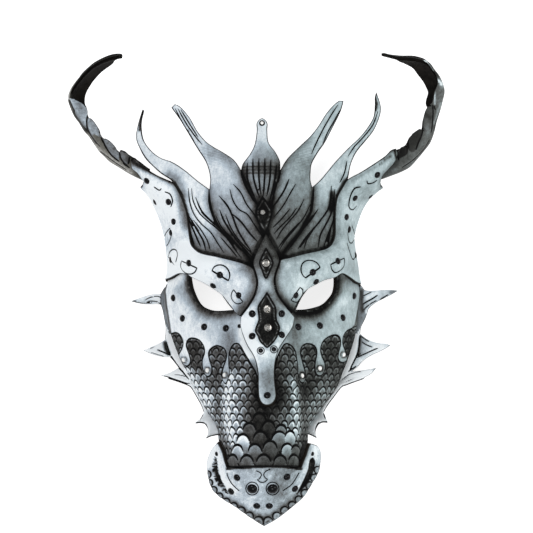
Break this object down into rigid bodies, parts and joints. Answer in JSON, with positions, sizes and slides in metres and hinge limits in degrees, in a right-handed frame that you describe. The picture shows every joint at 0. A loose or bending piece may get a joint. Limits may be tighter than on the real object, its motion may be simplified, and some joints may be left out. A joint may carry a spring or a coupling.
{
  "type": "leather dragon mask",
  "caption": "Moulded leather dragon mask with curled horns, flame crest, studded brows, scaled muzzle and a drip-ended nose plate.",
  "frame": {"origin": "on the surface that the mask lies on, under the middle of its bounding box", "axes": "+X to the right as the mask is looked at, +Y towards the horns, +Z out of the face"},
  "size_m": [0.288, 0.3578, 0.1235],
  "materials": {
    "silver_leather": "silver-white metallic paint rubbed over black",
    "scaled_leather": "tooled scales in black with silver dry-brushing, silver paint above the drips",
    "crest_leather": "silver paint shaded to black, with cut grooves",
    "horn_leather": "grey metallic paint outside, near black inside",
    "black_stud": "glossy domes",
    "crystal_stud": "faceted crystals in bright settings"
  },
  "bodies": {
    "root": {"brow_left": "silver_leather", "brow_left_stud_1": "black_stud", "brow_left_stud_10": "black_stud", "brow_left_stud_2": "black_stud", "brow_left_stud_3": "black_stud", "brow_left_stud_4": "black_stud", "brow_left_stud_5": "black_stud", "brow_left_stud_6": "black_stud", "brow_left_stud_7": "black_stud", "brow_left_stud_8": "black_stud", "brow_left_stud_9": "black_stud", "brow_right": "silver_leather", "brow_right_stud_1": "black_stud", "brow_right_stud_10": "black_stud", "brow_right_stud_2": "black_stud", "brow_right_stud_3": "black_stud", "brow_right_stud_4": "black_stud", "brow_right_stud_5": "black_stud", "brow_right_stud_6": "black_stud", "brow_right_stud_7": "black_stud", "brow_right_stud_8": "black_stud", "brow_right_stud_9": "black_stud", "cap_stud_1": "black_stud", "cap_stud_2": "black_stud", "cap_stud_3": "black_stud", "cap_stud_4": "black_stud", "cap_stud_5": "black_stud", "cap_stud_6": "black_stud", "cap_wing_stud_1": "black_stud", "cap_wing_stud_2": "black_stud", "cheek_frill_left": "silver_leather", "cheek_frill_right": "silver_leather", "cheek_left_stud_1": "black_stud", "cheek_left_stud_2": "black_stud", "cheek_left_stud_3": "black_stud", "cheek_left_stud_4": "black_stud", "cheek_right_stud_1": "black_stud", "cheek_right_stud_2": "black_stud", "cheek_right_stud_3": "black_stud", "cheek_right_stud_4": "black_stud", "crest_stud": "black_stud", "drip_stud": "black_stud", "face_shell": "scaled_leather", "forehead_crest": "crest_leather", "forehead_crystal": "crystal_stud", "horn_left": "horn_leather", "horn_right": "horn_leather", "nose_cap": "silver_leather", "nose_crystal_1": "crystal_stud", "nose_crystal_2": "crystal_stud", "nose_crystal_3": "crystal_stud", "nose_plate": "silver_leather", "nose_small_stud_1": "black_stud", "nose_small_stud_2": "black_stud", "nose_stud_1": "black_stud", "nose_stud_2": "black_stud", "nose_stud_3": "black_stud", "nose_stud_4": "black_stud", "nostril_stud_1": "black_stud", "nostril_stud_2": "black_stud"}
  },
  "joints": []
}
